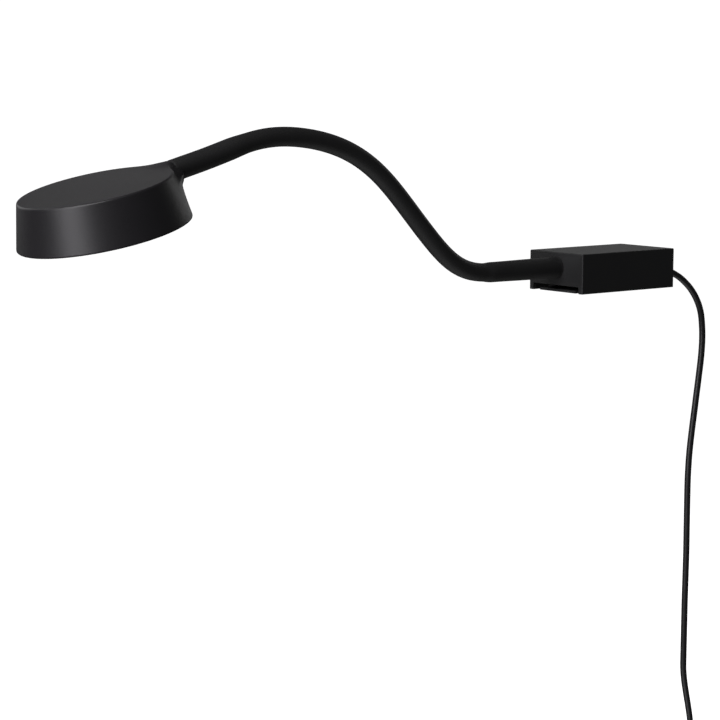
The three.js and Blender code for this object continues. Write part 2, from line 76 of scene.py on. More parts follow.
# ------------------------------------------------------------------ camera
camera = bpy.data.objects.new("camera", bpy.data.cameras.new("camera"))
scene.collection.objects.link(camera)
camera.data.sensor_width = 36.0
camera.data.lens = 120.107
camera.data.clip_end = 60.0
camera.data.dof.use_dof = False
RIGHT = Vector((0.7700689749, -0.6379367144, 0.0055247028))
UP = Vector((0.0775963474, 0.1022570653, 0.9917269279))
FORWARD = Vector((0.6332239578, 0.7632694420, -0.1282465524))
EYE = Vector((-0.962548, -0.947767, 0.132188))
camera.matrix_world = Matrix((
    (RIGHT.x, UP.x, -FORWARD.x, EYE.x),
    (RIGHT.y, UP.y, -FORWARD.y, EYE.y),
    (RIGHT.z, UP.z, -FORWARD.z, EYE.z),
    (0, 0, 0, 1),
))
scene.camera = camera

# ------------------------------------------------------------------ sizes, in millimetres
L, W, H = 72.3, 41.68, 22.0
ARM_Z, CORD_Z = 13.5, 9.4
SLOPE_STEP = 5.0
SLOPE_DEG = [
    0, 0, 0, 0, 0, 0, 0, 0, 0, 0, 0.6, 3.85, 8.84, 15.04, 21.77, 28.37, 34.18, 38.6, 41.67, 43.65,
    44.83, 45.5, 45.92, 46.21, 46.28, 46.02, 45.33, 44.11, 42.28, 39.94, 37.18, 34.12, 30.88, 27.57,
    24.27, 21.04, 17.96, 15.09, 12.48, 10.15, 7.97, 5.77, 3.42, 0.77, -2.3, -5.63, -8.94, -11.97,
    -14.45, -16.12, -16.7, -16.7, -16.3, -15.6, -14.9, -14.71,
]
PIVOTS = [66.3, 88.9, 111.5, 134.2, 156.8, 179.4, 202.0, 224.7]
SEAM = 285.8
HEAD_AT, HEAD_TILT = (-338.43, 0.0, 67.55), math.radians(-13.66)
R_TOP, R_LOW, HEAD_H, WALL, ROOF = 37.41, 42.2, 22.4, 2.0, 2.2
RING_X, RING_Z = 61.4, -305.8


def arm_slope(s):
    k = min(max(s / SLOPE_STEP, 0.0), len(SLOPE_DEG) - 1.000001)
    i = int(k)
    return math.radians(SLOPE_DEG[i] + (k - i) * (SLOPE_DEG[i + 1] - SLOPE_DEG[i]))


arm_table = []
_x, _z = -L / 2, ARM_Z
for _i in range(661):
    arm_table.append((_x, _z))
    _m = arm_slope((_i + 0.5) * 0.5)
    _x -= 0.5 * math.cos(_m)
    _z += 0.5 * math.sin(_m)


def arm_point(s):
    if s <= 0:
        return np.array([-L / 2 - s, 0.0, ARM_Z])
    k = min(s / 0.5, len(arm_table) - 1.000001)
    i = int(k)
    a, b = arm_table[i], arm_table[i + 1]
    return np.array([a[0] + (k - i) * (b[0] - a[0]), 0.0, a[1] + (k - i) * (b[1] - a[1])])


def smooth(t):
    t = min(max(t, 0.0), 1.0)
    return t * t * (3 - 2 * t)


# ------------------------------------------------------------------ the lead
def catmull(points, per=24):
    """Centripetal Catmull-Rom line through the points."""
    p = [np.array(q, float) for q in points]
    p = [2 * p[0] - p[1], *p, 2 * p[-1] - p[-2]]
    out = []
    for i in range(1, len(p) - 2):
        a, b, c, d = p[i - 1: i + 3]
        t0, t1 = 0.0, np.linalg.norm(b - a) ** 0.5
        t2 = t1 + np.linalg.norm(c - b) ** 0.5
        t3 = t2 + np.linalg.norm(d - c) ** 0.5
        for j in range(per):
            t = t1 + (t2 - t1) * j / per
            a1 = (t1 - t) / (t1 - t0) * a + (t - t0) / (t1 - t0) * b
            a2 = (t2 - t) / (t2 - t1) * b + (t - t1) / (t2 - t1) * c
            a3 = (t3 - t) / (t3 - t2) * c + (t - t2) / (t3 - t2) * d
            b1 = (t2 - t) / (t2 - t0) * a1 + (t - t0) / (t2 - t0) * a2
            b2 = (t3 - t) / (t3 - t1) * a2 + (t - t1) / (t3 - t1) * a3
            out.append((t2 - t) / (t2 - t1) * b1 + (t - t1) / (t2 - t1) * b2)
    out.append(p[-2])
    return np.array(out)


route = [
    (49.9, 8.02), (54.5, 6.6), (59.3, 4.62), (64.4, 2.0), (69.6, -1.65), (73.1, -4.65), (77.2, -9.3),
    (80.4, -14.4), (82.4, -19.3), (83.7, -26.5), (84.2, -33.6), (84.0, -40.6), (83.3, -47.7), (82.3, -54.7),
    (81.25, -61.7), (80.15, -68.7), (79.1, -75.8), (78.0, -82.8), (76.95, -89.8), (76.0, -96.8),
    (75.25, -103.9), (74.8, -111), (74.55, -118), (74.55, -132), (74.65, -147), (74.75, -161), (74.6, -175),
    (74.4, -190), (74.4, -205), (74.4, -218), (74.4, -230), (74.4, -242), (74.4, -254), (74.4, -266),
]
upper = catmull([(x, 0.0, z) for x, z in route])
for q in upper:
    q[1] = -7.2 * smooth((-228 - q[2]) / 42.0)
lead = [q for q in upper[:-1]]
# over the top and onto the coil: a quarter turn, then the winding
for k in range(0, 91, 5):
    a = math.radians(k)
    lead.append(np.array([RING_X + 13.0 * math.cos(a), -7.2, -266.0 - 15.0 * math.sin(a)]))
phi = 90.0
PLAN = [
    # degrees, radius to, side to, ease
    (1440, 24.8, 7.2, False), (95, 21.2, 7.2, True), (1440, 21.2, -7.2, False),
    (100, 17.6, -7.2, True), (1080, 17.6, 3.6, False),
]
radius, side = 24.8, -7.2
for span, to_r, to_y, ease in PLAN:
    steps = int(span / 4)
    for k in range(1, steps + 1):
        t = k / steps
        e = smooth(t)
        r = radius + (to_r - radius) * e
        y = side + (to_y - side) * (e if ease else t)
        a = math.radians(phi + span * t)
        lead.append(np.array([RING_X + r * math.cos(a), y, RING_Z + r * math.sin(a)]))
    phi += span
    radius, side = to_r, to_y
end_phi = 4500.0
span = end_phi - phi
steps = int(span / 4)
for k in range(1, steps + 1):
    deg = phi + span * k / steps
    y = 3.6 + (11.2 - 3.6) * smooth((deg - phi) / 120.0)
    r = 17.6 + (24.8 - 17.6) * smooth((deg - phi - 95.0) / (span - 95.0))
    a = math.radians(deg)
    lead.append(np.array([RING_X + r * math.cos(a), y, RING_Z + r * math.sin(a)]))
for z in (-310.0, -316.0, -322.0, -328.0, -333.0, -337.9):
    lead.append(np.array([RING_X - 24.8, 11.2, z]))
lead = np.array(lead)
_gap = np.concatenate([[True], np.linalg.norm(np.diff(lead, axis=0), axis=1) > 1e-6])
lead = lead[_gap]
along = np.concatenate([[0], np.cumsum(np.linalg.norm(np.diff(lead, axis=0), axis=1))])
LEAD_LONG = float(along[-1])


def lead_at(s):
    return np.array([np.interp(s, along, lead[:, k]) for k in range(3)])


def tube_along(path, radius, sides, groove=0.0):
    """Rings of the listed radii across a line in space, turned as little as possible from one to the next, with a shallow groove down each flat side of the two-core jacket."""
    path = np.asarray(path, float)
    tangent = np.gradient(path, axis=0)
    tangent /= np.linalg.norm(tangent, axis=1)[:, None]
    across = np.array([0.0, 1.0, 0.0])
    verts, faces = [], []
    for i, (p, t) in enumerate(zip(path, tangent)):
        across = across - t * (across @ t)
        across /= np.linalg.norm(across)
        other = np.cross(t, across)
        for k in range(sides):
            ang = 2 * math.pi * k / sides
            dip = groove * (math.exp(-(math.sin((ang) / 2) / 0.16) ** 2) + math.exp(-(math.cos((ang) / 2) / 0.16) ** 2))
            verts.append(p + (across * math.cos(ang) + other * math.sin(ang)) * (radius[i] - dip))
    n = len(path)
    for i in range(n - 1):
        for k in range(sides):
            k2 = (k + 1) % sides
            faces.append((i * sides + k, i * sides + k2, (i + 1) * sides + k2, (i + 1) * sides + k))
    faces.append(tuple(range(sides - 1, -1, -1)))
    faces.append(tuple((n - 1) * sides + k for k in range(sides)))
    return np.array(verts), faces


hang_long = float(along[len(upper) - 1])
stations = np.concatenate([np.arange(0, hang_long, 2.4), np.linspace(hang_long, LEAD_LONG, int((LEAD_LONG - hang_long) / 2.9))])
lead_line = np.array([lead_at(s) for s in stations])
# the jacket is pressed a little tighter where it is wound
jacket = [1.88 - 0.10 * smooth((q - hang_long + 40.0) / 60.0) for q in stations]
lead_v, lead_f = tube_along(lead_line, jacket, 28, 0.13)
lead_mesh = bpy.data.meshes.new("lead")
lead_mesh.from_pydata((lead_v * MM).tolist(), [], lead_f)
lead_mesh.update()
for poly in lead_mesh.polygons:
    poly.use_smooth = True
lead_mesh.set_sharp_from_angle(angle=math.radians(50))
cord = bpy.data.objects.new("lead", lead_mesh)
scene.collection.objects.link(cord)
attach(cord, "housing")
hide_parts("cord", "cord_coil", "cord_tail")


# ------------------------------------------------------------------ mesh tools, in millimetres
def make_object(name, vertices, faces, normals=None, sharp_deg=35.0, matrix=None):
    """A closed mesh; loop normals are given per vertex where there are any, else edges over sharp_deg stay sharp."""
    mesh = bpy.data.meshes.new(name)
    v = np.asarray(vertices, float)
    if matrix is not None:
        m = np.array(matrix, float)
        v = v @ m[:3, :3].T + m[:3, 3]
        if normals is not None:
            normals = np.asarray(normals, float) @ m[:3, :3].T
    mesh.from_pydata((v * MM).tolist(), [], [list(map(int, f)) for f in faces])
    mesh.validate()
    mesh.update()
    for poly in mesh.polygons:
        poly.use_smooth = True
    if normals is not None:
        mesh.normals_split_custom_set_from_vertices([tuple(n) for n in np.asarray(normals)])
    elif sharp_deg is not None:
        mesh.set_sharp_from_angle(angle=math.radians(sharp_deg))
    obj = bpy.data.objects.new(name, mesh)
    scene.collection.objects.link(obj)
    return obj


def lathe_data(profile, sides=96, modulate=None):
    """A profile [(radius, height), ...] turned about Z: closed where it starts and ends on the axis, or loops."""
    verts, faces, rows = [], [], []
    loop = not (profile[0][0] == 0 and profile[-1][0] == 0)
    for i, (r, z) in enumerate(profile):
        if r == 0:
            rows.append([len(verts)])
            verts.append((0.0, 0.0, z))
        else:
            row = []
            for k in range(sides):
                a = 2 * math.pi * k / sides
                f = modulate(i, a) if modulate else 1.0
                row.append(len(verts))
                verts.append((r * f * math.cos(a), r * f * math.sin(a), z))
            rows.append(row)
    pairs = list(zip(rows[:-1], rows[1:])) + ([(rows[-1], rows[0])] if loop else [])
    for a, b in pairs:
        for k in range(sides):
            k2 = (k + 1) % sides
            if len(a) == 1 and len(b) == 1:
                break
            if len(a) == 1:
                faces.append((a[0], b[k2], b[k]))
            elif len(b) == 1:
                faces.append((a[k], a[k2], b[0]))
            else:
                faces.append((a[k], a[k2], b[k2], b[k]))
    return np.array(verts), faces


def fix_outward(verts, faces):
    """The faces turned to point outwards, judged by the enclosed volume."""
    total = 0.0
    v = np.asarray(verts)
    for f in faces:
        for i in range(1, len(f) - 1):
            total += np.dot(v[f[0]], np.cross(v[f[i]], v[f[i + 1]]))
    return faces if total > 0 else [tuple(reversed(f)) for f in faces]


def lathe(name, profile, sides=96, matrix=None, sharp_deg=32.0, modulate=None):
    v, f = lathe_data(profile, sides, modulate)
    return make_object(name, v, fix_outward(v, f), None, sharp_deg, matrix)


def arc(cx, cz, r, a0, a1, n):
    return [(cx + r * math.cos(math.radians(a0 + (a1 - a0) * k / n)), cz + r * math.sin(math.radians(a0 + (a1 - a0) * k / n)))
            for k in range(n + 1)]


def turn_to(direction, origin):
    """A matrix whose +Z runs along direction."""
    d = Vector(direction).normalized()
    m = d.to_track_quat("Z", "X").to_matrix().to_4x4()
    m.translation = Vector(origin)
    return m


def tube_data(centres, tangents, outer, inner, sides, side_axis=(0, 1, 0)):
    """A tube along a line in the plane y = const: outer and inner are radii at each ring."""
    verts, normals, faces, group = [], [], [], []
    n = len(centres)
    yv = np.array(side_axis, float)
    slope = np.gradient(np.array(outer), np.concatenate([[0], np.cumsum(np.linalg.norm(np.diff(np.array(centres), axis=0), axis=1))]))
    for ring, (radii, sign) in enumerate(((outer, 1), (inner, -1))):
        for i in range(n):
            t = np.array(tangents[i], float)
            u = np.cross(yv, t)
            u /= np.linalg.norm(u)
            for k in range(sides):
                a = 2 * math.pi * k / sides
                radial = u * math.cos(a) + yv * math.sin(a)
                verts.append(centres[i] + radial * radii[i])
                nn = radial * sign - (t * slope[i] if sign > 0 else 0)
                normals.append(nn / np.linalg.norm(nn))
    def ring_id(g, i, k):
        return g * n * sides + i * sides + k % sides
    for i in range(n - 1):
        for k in range(sides):
            faces.append((ring_id(0, i, k), ring_id(0, i, k + 1), ring_id(0, i + 1, k + 1), ring_id(0, i + 1, k)))
            faces.append((ring_id(1, i, k), ring_id(1, i + 1, k), ring_id(1, i + 1, k + 1), ring_id(1, i, k + 1)))
            group += [0, 0]
    for k in range(sides):
        faces.append((ring_id(0, 0, k), ring_id(1, 0, k), ring_id(1, 0, k + 1), ring_id(0, 0, k + 1)))
        faces.append((ring_id(0, n - 1, k), ring_id(0, n - 1, k + 1), ring_id(1, n - 1, k + 1), ring_id(1, n - 1, k)))
        group += [1, 1]
    return np.array(verts), np.array(normals), faces, group


def loop_normals(obj, vertex_normals, flat_faces, matrix=None):
    """Given normals at vertices, but the face's own normal on the faces that stay flat."""
    mesh = obj.data
    out = []
    for poly in mesh.polygons:
        for vi in poly.vertices:
            out.append(tuple(poly.normal) if flat_faces[poly.index] else tuple(vertex_normals[vi]))
    mesh.normals_split_custom_set(out)


# signed-distance modelling, for moulded shapes with soft transitions
def surface_net(field, low, high, step):
    axes = [np.arange(l, h + step, step) for l, h in zip(low, high)]
    nx, ny, nz = map(len, axes)
    values = np.empty((nx, ny, nz), np.float32)
    yy, zz = np.meshgrid(axes[1], axes[2], indexing="ij")
    for i, x in enumerate(axes[0]):
        p = np.stack([np.full(yy.size, x), yy.ravel(), zz.ravel()], 1)
        values[i] = field(p).reshape(ny, nz)
    inside = values < 0
    count = np.zeros((nx - 1, ny - 1, nz - 1), np.int8)
    for dx in (0, 1):
        for dy in (0, 1):
            for dz in (0, 1):
                count += inside[dx:nx - 1 + dx, dy:ny - 1 + dy, dz:nz - 1 + dz]
    cells = np.argwhere((count > 0) & (count < 8))
    index = -np.ones((nx - 1, ny - 1, nz - 1), np.int64)
    index[tuple(cells.T)] = np.arange(len(cells))
    total, hits = np.zeros((len(cells), 3)), np.zeros(len(cells))
    corners = [(a, b, c) for a in (0, 1) for b in (0, 1) for c in (0, 1)]
    for a in corners:
        for axis in range(3):
            if a[axis]:
                continue
            b = list(a)
            b[axis] = 1
            va = values[tuple((cells + a).T)]
            vb = values[tuple((cells + b).T)]
            cross = (va < 0) != (vb < 0)
            t = np.where(cross, va / np.where(cross, va - vb, 1), 0)
            p = np.tile(np.array(a, float), (len(cells), 1))
            p[:, axis] += t
            total += p * cross[:, None]
            hits += cross
    verts = (cells + total / hits[:, None]) * step + np.array(low)
    faces = []
    for axis in range(3):
        o1, o2 = [k for k in range(3) if k != axis]
        sl_a = [slice(None)] * 3
        sl_b = [slice(None)] * 3
        sl_a[axis], sl_b[axis] = slice(0, -1), slice(1, None)
        change = inside[tuple(sl_a)] != inside[tuple(sl_b)]
        edges = np.argwhere(change)
        ok = (edges[:, o1] > 0) & (edges[:, o2] > 0) & (edges[:, o1] < index.shape[o1]) & (edges[:, o2] < index.shape[o2])
        edges = edges[ok]
        quad = []
        for d1, d2 in ((0, 0), (1, 0), (1, 1), (0, 1)):
            c = edges.copy()
            c[:, o1] -= d1
            c[:, o2] -= d2
            quad.append(index[tuple(c.T)])
        quad = np.stack(quad, 1)
        start_inside = inside[tuple(edges.T)]
        flip = start_inside if axis != 1 else ~start_inside
        quad[flip] = quad[flip][:, ::-1]
        faces.append(quad)
    return verts, np.concatenate(faces)


def gradient(field, p, e=0.02):
    g = np.empty_like(p)
    for k in range(3):
        d = np.zeros(3)
        d[k] = e
        g[:, k] = (field(p + d) - field(p - d)) / (2 * e)
    return g


def project(field, p, rounds=3, most=0.4):
    start = p.copy()
    for _ in range(rounds):
        g = gradient(field, p)
        f = field(p)
        step = f[:, None] * g / np.maximum((g * g).sum(1), 0.2)[:, None]
        p = p - np.clip(step, -most, most)
    away = np.linalg.norm(p - start, axis=1) > 2 * most
    p[away] = start[away]
    return p


def soft_max(a, b, r):
    return np.minimum(-r, np.maximum(a, b)) + np.hypot(np.maximum(a + r, 0), np.maximum(b + r, 0))


def soft_min_poly(a, b, k):
    h = np.maximum(k - np.abs(a - b), 0.0)
    return np.minimum(a, b) - h * h / (4 * k)


# ------------------------------------------------------------------ materials
def node(tree, kind, place, **values):
    n = tree.nodes.new(kind)
    n.location = place
    for key, value in values.items():
        setattr(n, key, value)
    return n


def material(name, color, rough, spread=0.05, tone=0.12, grain=900.0, bump=0.03, wear=0.0, wear_color=(0.2, 0.2, 0.2),
             metallic=0.0, spec=0.5, stretch=None, fine=4200.0, fine_bump=0.0, coat=0.0, pattern=None, sheen=0.0, emission=None, depth=0.0001):
    """A procedural finish: slow colour and gloss variation, fine texture in the relief, and worn edges."""
    m = bpy.data.materials.new(name)
    m.use_nodes = True
    t = m.node_tree
    t.nodes.clear()
    out = node(t, "ShaderNodeOutputMaterial", (900, 0))
    shader = node(t, "ShaderNodeBsdfPrincipled", (600, 0))
    t.links.new(shader.outputs["BSDF"], out.inputs["Surface"])
    coord = node(t, "ShaderNodeTexCoord", (-1300, 0))
    place = node(t, "ShaderNodeMapping", (-1100, 0))
    if stretch:
        place.inputs["Scale"].default_value = stretch
    t.links.new(coord.outputs["Object"], place.inputs["Vector"])
    slow = node(t, "ShaderNodeTexNoise", (-850, 200))
    slow.inputs["Scale"].default_value = 42.0
    slow.inputs["Detail"].default_value = 5.0
    t.links.new(place.outputs["Vector"], slow.inputs["Vector"])
    small = node(t, "ShaderNodeTexNoise", (-850, -150))
    small.inputs["Scale"].default_value = grain
    small.inputs["Detail"].default_value = 3.0
    t.links.new(place.outputs["Vector"], small.inputs["Vector"])
    # colour
    shade = node(t, "ShaderNodeMixRGB", (-250, 250))
    dark = [c * (1 - tone) for c in color]
    light = [min(1.0, c * (1 + tone)) for c in color]
    shade.inputs["Color1"].default_value = (*dark, 1)
    shade.inputs["Color2"].default_value = (*light, 1)
    t.links.new(slow.outputs["Fac"], shade.inputs["Fac"])
    result = shade.outputs["Color"]
    if pattern:
        result = pattern(t, coord, place, result)
    if wear > 0:
        geometry = node(t, "ShaderNodeNewGeometry", (-850, 520))
        ramp = node(t, "ShaderNodeMapRange", (-600, 520))
        ramp.inputs["From Min"].default_value = 0.52
        ramp.inputs["From Max"].default_value = 0.62
        ramp.inputs["To Max"].default_value = wear
        t.links.new(geometry.outputs["Pointiness"], ramp.inputs["Value"])
        worn = node(t, "ShaderNodeMixRGB", (0, 300))
        t.links.new(ramp.outputs["Result"], worn.inputs["Fac"])
        t.links.new(result, worn.inputs["Color1"])
        worn.inputs["Color2"].default_value = (*wear_color, 1)
        result = worn.outputs["Color"]
    t.links.new(result, shader.inputs["Base Color"])
    # gloss
    gloss = node(t, "ShaderNodeMapRange", (-250, -50))
    gloss.inputs["To Min"].default_value = max(0.03, rough - spread)
    gloss.inputs["To Max"].default_value = min(1.0, rough + spread)
    mixed = node(t, "ShaderNodeMath", (-600, -50), operation="MULTIPLY_ADD")
    mixed.inputs[1].default_value = 0.6
    half = node(t, "ShaderNodeMath", (-600, -220), operation="MULTIPLY")
    half.inputs[1].default_value = 0.4
    t.links.new(slow.outputs["Fac"], half.inputs[0])
    t.links.new(small.outputs["Fac"], mixed.inputs[0])
    t.links.new(half.outputs["Value"], mixed.inputs[2])
    t.links.new(mixed.outputs["Value"], gloss.inputs["Value"])
    t.links.new(gloss.outputs["Result"], shader.inputs["Roughness"])
    # relief
    relief = node(t, "ShaderNodeBump", (200, -300))
    relief.inputs["Strength"].default_value = min(1.0, bump * 10)
    relief.inputs["Distance"].default_value = depth
    t.links.new(small.outputs["Fac"], relief.inputs["Height"])
    last = relief
    if fine_bump > 0:
        finest = node(t, "ShaderNodeTexVoronoi", (-850, -450))
        finest.inputs["Scale"].default_value = fine
        t.links.new(place.outputs["Vector"], finest.inputs["Vector"])
        second = node(t, "ShaderNodeBump", (400, -300))
        second.inputs["Strength"].default_value = min(1.0, fine_bump * 10)
        second.inputs["Distance"].default_value = depth
        t.links.new(finest.outputs["Distance"], second.inputs["Height"])
        t.links.new(relief.outputs["Normal"], second.inputs["Normal"])
        last = second
    t.links.new(last.outputs["Normal"], shader.inputs["Normal"])
    shader.inputs["Metallic"].default_value = metallic
    shader.inputs["Specular IOR Level"].default_value = spec
    shader.inputs["Coat Weight"].default_value = coat
    if sheen:
        shader.inputs["Sheen Weight"].default_value = sheen
    if emission:
        shader.inputs["Emission Color"].default_value = (*emission[:3], 1)
        shader.inputs["Emission Strength"].default_value = emission[3]
    m.diffuse_color = (*color, 1)
    return m


def weave(t, coord, place, result):
    wave = node(t, "ShaderNodeTexWave", (-600, 420), wave_type="BANDS", bands_direction="DIAGONAL")
    wave.inputs["Scale"].default_value = 600.0
    t.links.new(place.outputs["Vector"], wave.inputs["Vector"])
    mix = node(t, "ShaderNodeMixRGB", (-100, 420), blend_type="MULTIPLY")
    mix.inputs["Fac"].default_value = 0.6
    t.links.new(result, mix.inputs["Color1"])
    t.links.new(wave.outputs["Color"], mix.inputs["Color2"])
    return mix.outputs["Color"]


def ring_pattern(t, coord, place, result):
    wave = node(t, "ShaderNodeTexWave", (-600, 420), wave_type="RINGS", rings_direction="Z")
    wave.inputs["Scale"].default_value = 220.0
    t.links.new(place.outputs["Vector"], wave.inputs["Vector"])
    mix = node(t, "ShaderNodeMixRGB", (-100, 420), blend_type="MULTIPLY")
    mix.inputs["Fac"].default_value = 0.15
    t.links.new(result, mix.inputs["Color1"])
    t.links.new(wave.outputs["Color"], mix.inputs["Color2"])
    return mix.outputs["Color"]


mats = {
    "housing_plastic": material("housing_plastic", (0.0088, 0.0088, 0.0092), 0.52, 0.05, 0.10, 1500, 0.030, wear=0.25, wear_color=(0.05, 0.05, 0.052), fine_bump=0.010, spec=0.37),
    "shell_plastic": material("shell_plastic", (0.0086, 0.0080, 0.0094), 0.43, 0.05, 0.10, 1300, 0.020, wear=0.20, wear_color=(0.05, 0.048, 0.053), fine_bump=0.006, spec=0.42),
    "silicone": material("silicone", (0.0105, 0.0105, 0.0108), 0.56, 0.05, 0.12, 1100, 0.018, wear=0.10, wear_color=(0.03, 0.03, 0.03), spec=0.30),
    "steel": material("steel", (0.55, 0.56, 0.57), 0.34, 0.08, 0.08, 700, 0.03, wear=0.3, wear_color=(0.8, 0.8, 0.8), metallic=1.0, stretch=(1, 1, 9)),
    "black_steel": material("black_steel", (0.007, 0.007, 0.0074), 0.50, 0.07, 0.15, 1800, 0.06, wear=0.20, wear_color=(0.07, 0.07, 0.074), metallic=0.0, spec=0.22),
    "aluminium": material("aluminium", (0.60, 0.61, 0.62), 0.40, 0.08, 0.06, 600, 0.03, wear=0.3, wear_color=(0.85, 0.85, 0.86), metallic=1.0, stretch=(8, 1, 1)),
    "brass": material("brass", (0.55, 0.40, 0.18), 0.33, 0.08, 0.08, 700, 0.03, wear=0.3, wear_color=(0.8, 0.65, 0.4), metallic=1.0, stretch=(9, 1, 1)),
    "board": material("board", (0.014, 0.085, 0.038), 0.42, 0.06, 0.20, 500, 0.03, wear=0.1, wear_color=(0.3, 0.25, 0.1)),
    "led_board": material("led_board", (0.76, 0.76, 0.72), 0.45, 0.06, 0.05, 500, 0.02, wear=0.1, wear_color=(0.85, 0.8, 0.4)),
    "ferrite": material("ferrite", (0.030, 0.030, 0.033), 0.68, 0.06, 0.15, 900, 0.08, wear=0.2, wear_color=(0.12, 0.12, 0.12)),
    "capacitor_can": material("capacitor_can", (0.020, 0.028, 0.050), 0.32, 0.06, 0.10, 400, 0.02, wear=0.1, wear_color=(0.3, 0.3, 0.3)),
    "film_capacitor": material("film_capacitor", (0.42, 0.035, 0.022), 0.36, 0.06, 0.10, 300, 0.04, wear=0.1, wear_color=(0.6, 0.2, 0.15)),
    "chip": material("chip", (0.010, 0.010, 0.010), 0.55, 0.06, 0.12, 1500, 0.03, wear=0.15, wear_color=(0.08, 0.08, 0.08)),
    "terminal_plastic": material("terminal_plastic", (0.030, 0.14, 0.085), 0.45, 0.06, 0.10, 500, 0.02, wear=0.15, wear_color=(0.1, 0.3, 0.2)),
    "opal": material("opal", (0.80, 0.80, 0.77), 0.42, 0.05, 0.03, 700, 0.015, wear=0.05, wear_color=(0.9, 0.9, 0.88), pattern=ring_pattern),
    "white_plastic": material("white_plastic", (0.82, 0.82, 0.80), 0.5, 0.06, 0.04, 600, 0.02, wear=0.05, wear_color=(0.9, 0.9, 0.9)),
    "cord_jacket": material("cord_jacket", (0.0100, 0.0100, 0.0108), 0.40, 0.07, 0.12, 900, 0.03, wear=0.05, wear_color=(0.03, 0.03, 0.03), spec=0.45),
    "connector_plastic": material("connector_plastic", (0.0120, 0.0120, 0.0126), 0.45, 0.06, 0.10, 1200, 0.03, wear=0.2, wear_color=(0.05, 0.05, 0.05)),
    "tie_fabric": material("tie_fabric", (0.014, 0.014, 0.014), 0.85, 0.06, 0.2, 2200, 0.10, wear=0.1, wear_color=(0.04, 0.04, 0.04), pattern=weave, sheen=0.3),
}
slot_of = {p["node"]: p["material_slot"] for p in frame["record"]["subparts"]}
for name, obj in frame["nodes"].items():
    obj.data.materials.clear()
    obj.data.materials.append(mats[slot_of[name]])
    for poly in obj.data.polygons:
        poly.use_smooth = True
    obj.data.set_sharp_from_angle(angle=math.radians(33))


def finish_piece(obj, body, slot_name, *nodes):
    obj.data.materials.clear()
    obj.data.materials.append(mats[slot_name])
    if body:
        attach(obj, body)
    if nodes:
        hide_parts(*nodes)
    return obj


cord.data.materials.append(mats["cord_jacket"])


# ------------------------------------------------------------------ housing
def rounded_block(l, w, h, corner, top_r, low_r, n_corner=8, n_edge=5):
    levels = []
    for k in range(n_edge + 1):
        a = math.pi / 2 * k / n_edge
        levels.append((low_r * (1 - math.sin(a)), low_r * (1 - math.cos(a))))
    for k in range(n_edge + 1):
        a = math.pi / 2 * k / n_edge
        levels.append((top_r * (1 - math.cos(a)), h - top_r * (1 - math.sin(a))))
    verts, faces, rows = [], [], []
    for inset, z in levels:
        a, b = l / 2 - inset, w / 2 - inset
        r = max(corner - inset, 0.12)
        row = []
        for cx, cy, start in ((a - r, b - r, 0), (-a + r, b - r, 90), (-a + r, -b + r, 180), (a - r, -b + r, 270)):
            for k in range(n_corner + 1):
                ang = math.radians(start + 90 * k / n_corner)
                row.append(len(verts))
                verts.append((cx + r * math.cos(ang), cy + r * math.sin(ang), z))
        rows.append(row)
    for low, high in zip(rows[:-1], rows[1:]):
        m = len(low)
        for k in range(m):
            faces.append((low[k], low[(k + 1) % m], high[(k + 1) % m], high[k]))
    faces.append(tuple(reversed(rows[0])))
    faces.append(tuple(rows[-1]))
    return np.array(verts), faces


def box_object(name, x0, x1, y0, y1, z0, z1):
    v = [(x, y, z) for x in (x0, x1) for y in (y0, y1) for z in (z0, z1)]
    f = [(0, 1, 3, 2), (4, 6, 7, 5), (0, 4, 5, 1), (2, 3, 7, 6), (0, 2, 6, 4), (1, 5, 7, 3)]
    return make_object(name, v, fix_outward(v, f), None, None)


def rod_object(name, r, z0, z1, matrix, sides=40):
    return lathe(name, [(0, z0), (r, z0), (r, z1), (0, z1)], sides, matrix)


def combine(target, others, operation):
    for other in others:
        mod = target.modifiers.new("b", "BOOLEAN")
        mod.solver = "EXACT"
        mod.operation = operation
        mod.object = other
        dg = bpy.context.evaluated_depsgraph_get()
        mesh = bpy.data.meshes.new_from_object(target.evaluated_get(dg))
        target.modifiers.clear()
        old = target.data
        target.data = mesh
        bpy.data.meshes.remove(old)
        bpy.data.objects.remove(other)
    return target


def flat_finish(obj, deg=32.0):
    mesh = obj.data
    bm = bmesh.new()
    bm.from_mesh(mesh)
    bmesh.ops.remove_doubles(bm, verts=bm.verts, dist=2e-7)
    bmesh.ops.recalc_face_normals(bm, faces=bm.faces)
    bm.to_mesh(mesh)
    bm.free()
    for poly in mesh.polygons:
        poly.use_smooth = True
    mesh.set_sharp_from_angle(angle=math.radians(deg))
    mod = obj.modifiers.new("weighted", "WEIGHTED_NORMAL")
    mod.keep_sharp = True
    mod.weight = 100
    return obj


v, f = rounded_block(L, W, H, 0.55, 0.6, 0.35)
housing = make_object("housing_body", v, fix_outward(v, f), None, None)
a, b = L / 2, W / 2
along_x = lambda x, y, z: turn_to((1, 0, 0), (x, y, z))
combine(housing, [box_object("c1", -a + 2.5, a - 2.5, -b + 2.9, b - 2.9, -1, H - 2.2),
                  box_object("c2", -a - 1, -a + 3.5, -17.8, 17.8, -1, 3.8)], "DIFFERENCE")
adds = []
for s in (-1, 1):
    ys = sorted((s * 14.4, s * (b - 2.4)))
    adds.append(box_object("a", -24, a - 2.0, ys[0], ys[1], 0.1, 2.0))
for x, y in ((-29.4, -14), (-29.4, 14), (29.0, -14), (29.0, 14)):
    adds.append(rod_object("a", 3.1, 6.3, H - 1.8, Matrix.Translation((x, y, 0))))
combine(housing, adds, "UNION")
cuts = [rod_object("c", 1.5, 2, 15.5, Matrix.Translation((x, y, 0)), 24) for x, y in ((-29.4, -14), (-29.4, 14), (29.0, -14), (29.0, 14))]
cuts.append(rod_object("c", 3.75, -6, 6, along_x(-a, 0, ARM_Z)))
cuts.append(rod_object("c", 2.95, -6, 6, along_x(a, 0, CORD_Z)))
